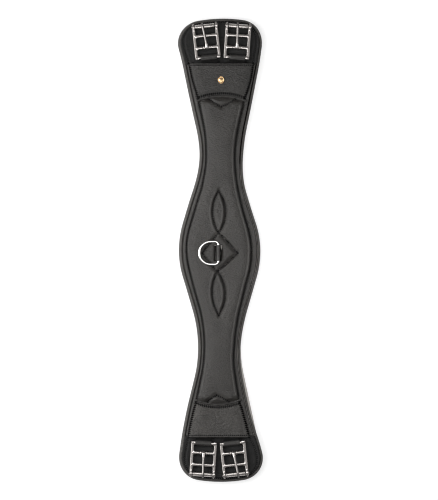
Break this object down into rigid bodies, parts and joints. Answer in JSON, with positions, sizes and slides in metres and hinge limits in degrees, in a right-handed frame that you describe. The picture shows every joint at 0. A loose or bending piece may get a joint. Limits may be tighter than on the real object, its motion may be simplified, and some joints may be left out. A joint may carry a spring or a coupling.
{
  "type": "saddle girth",
  "caption": "Padded anatomical leather girth that holds a riding saddle on, with elasticated roller buckles at both ends and a D-ring at its middle.",
  "frame": {"origin": "middle of the face that lies against the horse, at the lowest point", "axes": "+Y along the girth towards the end with the badge stud, +X across it, +Z away from the horse"},
  "size_m": [0.1194, 0.6602, 0.0218],
  "materials": {
    "lining_leather": "satin",
    "panel_leather": "satin",
    "guard_leather": "satin",
    "piping_leather": "satin",
    "foam": "matte",
    "webbing": "matte",
    "elastic": "matte",
    "steel": "polished",
    "gold": "polished"
  },
  "bodies": {
    "girth": {"lining_leather": "lining_leather", "foam_core": "foam", "load_web": "webbing", "face_panel": "panel_leather", "face_padding": "foam", "ring_tab": "panel_leather", "end_guard_top": "guard_leather", "end_guard_bottom": "guard_leather", "end_patch_top": "panel_leather", "end_patch_bottom": "panel_leather", "patch_piping_top": "piping_leather", "patch_piping_bottom": "piping_leather", "badge_stud": "gold"},
    "strap_top_left": {"chape_top_left": "guard_leather", "elastic_top_left": "elastic"},
    "buckle_top_left": {"buckle_frame_top_left": "steel", "roller_pin_top_left": "steel"},
    "roller_top_left": {"roller_top_left": "steel"},
    "tongue_top_left": {"tongue_top_left": "steel"},
    "strap_top_right": {"chape_top_right": "guard_leather", "elastic_top_right": "elastic"},
    "buckle_top_right": {"buckle_frame_top_right": "steel", "roller_pin_top_right": "steel"},
    "roller_top_right": {"roller_top_right": "steel"},
    "tongue_top_right": {"tongue_top_right": "steel"},
    "strap_bottom_left": {"chape_bottom_left": "guard_leather", "elastic_bottom_left": "elastic"},
    "buckle_bottom_left": {"buckle_frame_bottom_left": "steel", "roller_pin_bottom_left": "steel"},
    "roller_bottom_left": {"roller_bottom_left": "steel"},
    "tongue_bottom_left": {"tongue_bottom_left": "steel"},
    "strap_bottom_right": {"chape_bottom_right": "guard_leather", "elastic_bottom_right": "elastic"},
    "buckle_bottom_right": {"buckle_frame_bottom_right": "steel", "roller_pin_bottom_right": "steel"},
    "roller_bottom_right": {"roller_bottom_right": "steel"},
    "tongue_bottom_right": {"tongue_bottom_right": "steel"},
    "ring": {"d_ring": "steel"}
  },
  "joints": [
    {"name": "stretch_top_left", "type": "slide", "parent": "girth", "child": "strap_top_left", "axis": [-0.1045, 0.9945, 0], "range_m": [0, 0.012], "stiffness_N_per_m": 1500, "deforming": ["elastic_top_left"]},
    {"name": "buckle_hinge_top_left", "type": "hinge", "parent": "strap_top_left", "child": "buckle_top_left", "pos_m": [-0.0174, 0.2746, 0.0146], "axis": [0.9945, 0.1045, 0], "range_deg": [0, 70]},
    {"name": "roller_spin_top_left", "type": "hinge", "parent": "buckle_top_left", "child": "roller_top_left", "pos_m": [-0.02201, 0.31846, 0.0146], "axis": [0.9945, 0.1045, 0], "continuous": true},
    {"name": "tongue_hinge_top_left", "type": "hinge", "parent": "buckle_top_left", "child": "tongue_top_left", "pos_m": [-0.01885, 0.28842, 0.0146], "axis": [0.9945, 0.1045, 0], "range_deg": [0, 110]},
    {"name": "stretch_top_right", "type": "slide", "parent": "girth", "child": "strap_top_right", "axis": [0.0645, 0.9979, 0], "range_m": [0, 0.012], "stiffness_N_per_m": 1500, "deforming": ["elastic_top_right"]},
    {"name": "buckle_hinge_top_right", "type": "hinge", "parent": "strap_top_right", "child": "buckle_top_right", "pos_m": [0.0229, 0.2746, 0.0146], "axis": [0.9979, -0.0645, 0], "range_deg": [0, 70]},
    {"name": "roller_spin_top_right", "type": "hinge", "parent": "buckle_top_right", "child": "roller_top_right", "pos_m": [0.02575, 0.31861, 0.0146], "axis": [0.9979, -0.0645, 0], "continuous": true},
    {"name": "tongue_hinge_top_right", "type": "hinge", "parent": "buckle_top_right", "child": "tongue_top_right", "pos_m": [0.0238, 0.28847, 0.0146], "axis": [0.9979, -0.0645, 0], "range_deg": [0, 110]},
    {"name": "stretch_bottom_left", "type": "slide", "parent": "girth", "child": "strap_bottom_left", "axis": [0.1045, -0.9945, 0], "range_m": [0, 0.012], "stiffness_N_per_m": 1500, "deforming": ["elastic_bottom_left"]},
    {"name": "buckle_hinge_bottom_left", "type": "hinge", "parent": "strap_bottom_left", "child": "buckle_bottom_left", "pos_m": [0.0174, -0.2746, 0.0146], "axis": [-0.9945, -0.1045, 0], "range_deg": [0, 70]},
    {"name": "roller_spin_bottom_left", "type": "hinge", "parent": "buckle_bottom_left", "child": "roller_bottom_left", "pos_m": [0.02201, -0.31846, 0.0146], "axis": [-0.9945, -0.1045, 0], "continuous": true},
    {"name": "tongue_hinge_bottom_left", "type": "hinge", "parent": "buckle_bottom_left", "child": "tongue_bottom_left", "pos_m": [0.01885, -0.28842, 0.0146], "axis": [-0.9945, -0.1045, 0], "range_deg": [0, 110]},
    {"name": "stretch_bottom_right", "type": "slide", "parent": "girth", "child": "strap_bottom_right", "axis": [-0.0645, -0.9979, 0], "range_m": [0, 0.012], "stiffness_N_per_m": 1500, "deforming": ["elastic_bottom_right"]},
    {"name": "buckle_hinge_bottom_right", "type": "hinge", "parent": "strap_bottom_right", "child": "buckle_bottom_right", "pos_m": [-0.0229, -0.2746, 0.0146], "axis": [-0.9979, 0.0645, 0], "range_deg": [0, 70]},
    {"name": "roller_spin_bottom_right", "type": "hinge", "parent": "buckle_bottom_right", "child": "roller_bottom_right", "pos_m": [-0.02575, -0.31861, 0.0146], "axis": [-0.9979, 0.0645, 0], "continuous": true},
    {"name": "tongue_hinge_bottom_right", "type": "hinge", "parent": "buckle_bottom_right", "child": "tongue_bottom_right", "pos_m": [-0.0238, -0.28847, 0.0146], "axis": [-0.9979, 0.0645, 0], "range_deg": [0, 110]},
    {"name": "ring_hinge", "type": "hinge", "parent": "girth", "child": "ring", "pos_m": [-0.0028, -0.0038, 0.0182], "axis": [0, 1, 0], "range_deg": [0, 180]}
  ]
}
